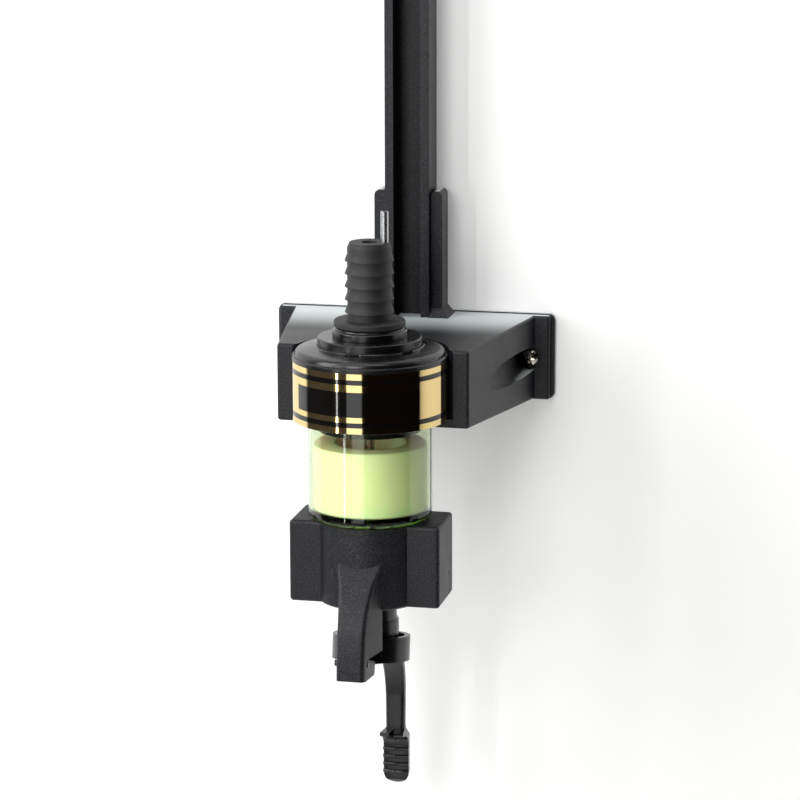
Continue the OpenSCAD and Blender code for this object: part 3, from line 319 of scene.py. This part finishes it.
def makeFoil(f):
    material, tree, shader, place = newMaterial("goldFoil")
    low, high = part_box("label_band")
    part = addNode(tree, "SeparateXYZ", links={0: place})
    depth = addNode(tree, "MapRange", {"From Min": high.z, "From Max": low.z}, {"Value": part.outputs["Z"]})
    forward = addNode(tree, "Math", {"operation": "SUBTRACT", 0: axisY}, {1: part.outputs["Y"]})
    turn = addNode(tree, "Math", {"operation": "ARCTAN2"}, {0: part.outputs["X"], 1: forward.outputs[0]})
    around = addNode(tree, "Math", {"operation": "ABSOLUTE"}, {0: turn.outputs[0]})
    # the panel's stripe is cut to the panel's width, and the lines are added to it all the way round
    ink = addNode(tree, "Math", {"operation": "LESS_THAN", 1: math.radians(f["panelHalf"])},
                  {0: around.outputs[0]})
    stripes = [(*f["panel"], "MULTIPLY")] + [(*line, "MAXIMUM") for line in f["lines"]]
    for top, bottom, join in stripes:
        under = addNode(tree, "Math", {"operation": "GREATER_THAN", 1: top}, {0: depth.outputs[0]})
        over = addNode(tree, "Math", {"operation": "LESS_THAN", 1: bottom}, {0: depth.outputs[0]})
        stripe = addNode(tree, "Math", {"operation": "MULTIPLY"}, {0: under.outputs[0], 1: over.outputs[0]})
        ink = addNode(tree, "Math", {"operation": join}, {0: ink.outputs[0], 1: stripe.outputs[0]})
    colour = addNode(tree, "MixRGB", {1: hexLinear(f["gold"]), 2: hexLinear(f["ink"])}, {0: ink.outputs[0]})
    metal = addNode(tree, "Math", {"operation": "SUBTRACT", 0: 1.0}, {1: ink.outputs[0]})
    ripple = addNode(tree, "TexNoise", {"Scale": grainSize(f["ripple"]), "Detail": 2.0}, {"Vector": place})
    bump = addNode(tree, "Bump", {"Strength": f["rippleBump"], "Distance": f["rippleHeight"] * mm},
                   {"Height": ripple.outputs[0]})
    tree.links.new(colour.outputs[0], shader.inputs["Base Color"])
    tree.links.new(metal.outputs[0], shader.inputs["Metallic"])
    tree.links.new(bump.outputs[0], shader.inputs["Normal"])
    shader.inputs["Roughness"].default_value = f["rough"]
    return material


finishedMetals = {name: makeMetal(name, *values) for name, values in metals.items()}
slotFinish = {
    "grained_plastic": makeMouldedAbs(moulded),
    "gloss_plastic": makePolishedAbs(polished),
    "steel": finishedMetals["stainlessSteel"],
    "nickel": finishedMetals["nickelPlate"],
    "rubber": makeRubber(rubber),
    "clear_plastic": makeClearCup(cup),
    "white_plastic": makeWhiteAcetal(acetal),
    "foil": makeFoil(foil),
}
ownFinish = {"hinge_pin": finishedMetals["blackenedSteel"]}  # differs from the rest of its slot

record = frame["record"]
bodyOf = {node: body for body, members in record["behaviour"]["bodies"].items() for node in members}
slotOf = {part["node"]: part["material_slot"] for part in record["subparts"]}

for node, slot in slotOf.items():
    nodeMaterials = nodes[node].data.materials
    nodeMaterials.clear()
    nodeMaterials.append(ownFinish.get(node, slotFinish[slot]))
print("materials made")

# ---- moulded shells: each node's own form with its mould's edge rounding

edgeRounding = {
    # node: radius in millimetres
    "wall_plate": 0.25, "bracket_body": 0.35, "bottle_rail": 0.3, "rail_end_cap": 0.2, "steady_arm": 0.4,
    "clamp_knob": 0.4, "pressure_plate": 0.3, "top_cap": 0.25, "collar_ring": 0.15, "stopper_base": 0.2,
    "bottle_stopper": 0.2, "lower_housing": 0.4, "spout": 0.2, "lever": 0.3, "measure_ring": 0.2,
}

shell = {
    "weld": 0.002,        # millimetres between corners that are one
    "flat": 0.4,          # degrees between triangles of one flat face
    "edge": 30,           # degrees from which an edge is rounded
    "crease": 50,         # degrees from which the shading stays sharp
    "steps": 2,
}


def makeShell(node, radius, s):
    mesh = nodes[node].data.copy()
    mesh.name = node + "Shell"
    shape = bmesh.new()
    shape.from_mesh(mesh)
    bmesh.ops.remove_doubles(shape, verts=shape.verts, dist=s["weld"] * mm)
    bmesh.ops.dissolve_limit(shape, angle_limit=math.radians(s["flat"]), verts=shape.verts, edges=shape.edges)
    corner = math.radians(s["edge"])
    edges = [e for e in shape.edges if len(e.link_faces) == 2 and e.calc_face_angle(0) > corner]
    bmesh.ops.bevel(shape, geom=edges, offset=radius * mm, segments=s["steps"], profile=0.5, affect="EDGES",
                    clamp_overlap=True, miter_outer="ARC")
    for face in shape.faces:
        face.smooth = True
    shape.to_mesh(mesh)
    shape.free()
    mesh.set_sharp_from_angle(angle=math.radians(s["crease"]))
    piece = bpy.data.objects.new(node + "Shell", mesh)
    bpy.context.scene.collection.objects.link(piece)
    piece.modifiers.new("weighted", "WEIGHTED_NORMAL").keep_sharp = True
    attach(piece, bodyOf[node])
    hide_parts(node)


for shellNode, shellRadius in edgeRounding.items():
    makeShell(shellNode, shellRadius, shell)
print("shells made:", len(edgeRounding))

# ---- wall and floor

# matt emulsion on plaster: no gloss, and a low glow that keeps it white in the picture
stage = {
    "colour": "#f4f4f3", "rough": 0.9, "glow": 0.22,
    "half": 3.0, "floorDrop": 1.2,   # metres; the drop is from the lever's pad to the floor
    "wallY": 0.0004,                 # just behind the plate's back face
}


def makeStage(s):
    material, tree, shader, place = newMaterial("paintedWall")
    shader.inputs["Base Color"].default_value = hexLinear(s["colour"])
    shader.inputs["Roughness"].default_value = s["rough"]
    shader.inputs["Emission Color"].default_value = hexLinear(s["colour"])
    shader.inputs["Emission Strength"].default_value = s["glow"]
    # see-through from behind, so that the back of the bracket can be looked at
    behind = addNode(tree, "NewGeometry").outputs["Backfacing"]
    clear = addNode(tree, "BsdfTransparent")
    mix = addNode(tree, "MixShader", links={0: behind, 1: shader.outputs[0], 2: clear.outputs[0]})
    tree.links.new(mix.outputs[0], tree.nodes["Material Output"].inputs["Surface"])
    half, wallY = s["half"], s["wallY"]
    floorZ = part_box("lever")[0].z - s["floorDrop"]
    footLeft, footRight = (-half, wallY, floorZ), (half, wallY, floorZ)
    corners = {
        "backWall": [footLeft, footRight, (half, wallY, half), (-half, wallY, half)],
        "floor": [(-half, -half, floorZ), (half, -half, floorZ), footRight, footLeft],
    }
    for name, points in corners.items():
        mesh = bpy.data.meshes.new(name)
        mesh.from_pydata(points, [], [(0, 1, 2, 3)])
        mesh.materials.append(material)
        obj = bpy.data.objects.new(name, mesh)
        bpy.context.scene.collection.objects.link(obj)


# the studio round the wall: dark and brown to the front and right, paler to the left and overhead
studio = {
    "room": (   # (degrees to the right, colour)
        (-180, "#8c8c8c"), (-100, "#6a6a6a"), (-70, "#7a7a7c"), (-15, "#6b635c"),
        (5, "#1d1613"), (95, "#15110f"), (130, "#777777"), (180, "#8c8c8c"),
    ),
    "ceiling": "#a9adb0", "floor": "#5c5854",
    "fade": (0.45, 0.8),       # the room gives way to ceiling and floor between these heights of a unit ray
    "strength": 0.4,
    "backdrop": "#ececeb",     # what the camera sees of it
}


def makeWorld(s):
    world = bpy.data.worlds.new("studio")
    bpy.context.scene.world = world
    world.use_nodes = True
    tree = world.node_tree
    ray = addNode(tree, "SeparateXYZ", links={0: addNode(tree, "TexCoord").outputs["Generated"]})
    ahead = addNode(tree, "Math", {"operation": "MULTIPLY", 1: -1.0}, {0: ray.outputs["Y"]})
    turn = addNode(tree, "Math", {"operation": "ARCTAN2"}, {0: ray.outputs["X"], 1: ahead.outputs[0]})
    share = addNode(tree, "MapRange", {"From Min": -math.pi, "From Max": math.pi}, {"Value": turn.outputs[0]})
    ramp = addNode(tree, "ValToRGB", links={0: share.outputs[0]})
    stops = ramp.color_ramp.elements
    while len(stops) < len(s["room"]):
        stops.new(0.5)
    for stop, (angle, colour) in zip(stops, s["room"]):
        stop.position = (angle + 180) / 360
        stop.color = hexLinear(colour)
    start, end = s["fade"]
    above = addNode(tree, "MapRange", {"From Min": start, "From Max": end}, {"Value": ray.outputs["Z"]})
    below = addNode(tree, "MapRange", {"From Min": -start, "From Max": -end}, {"Value": ray.outputs["Z"]})
    lid = addNode(tree, "MixRGB", {2: hexLinear(s["ceiling"])}, {0: above.outputs[0], 1: ramp.outputs[0]})
    base = addNode(tree, "MixRGB", {2: hexLinear(s["floor"])}, {0: below.outputs[0], 1: lid.outputs[0]})
    room = tree.nodes["Background"]
    tree.links.new(base.outputs[0], room.inputs["Color"])
    room.inputs["Strength"].default_value = s["strength"]
    pale = addNode(tree, "Background", {"Color": hexLinear(s["backdrop"])})
    seen = addNode(tree, "LightPath").outputs["Is Camera Ray"]
    mix = addNode(tree, "MixShader", links={0: seen, 1: room.outputs[0], 2: pale.outputs[0]})
    tree.links.new(mix.outputs[0], tree.nodes["World Output"].inputs["Surface"])


makeStage(stage)
makeWorld(studio)
print("stage made")
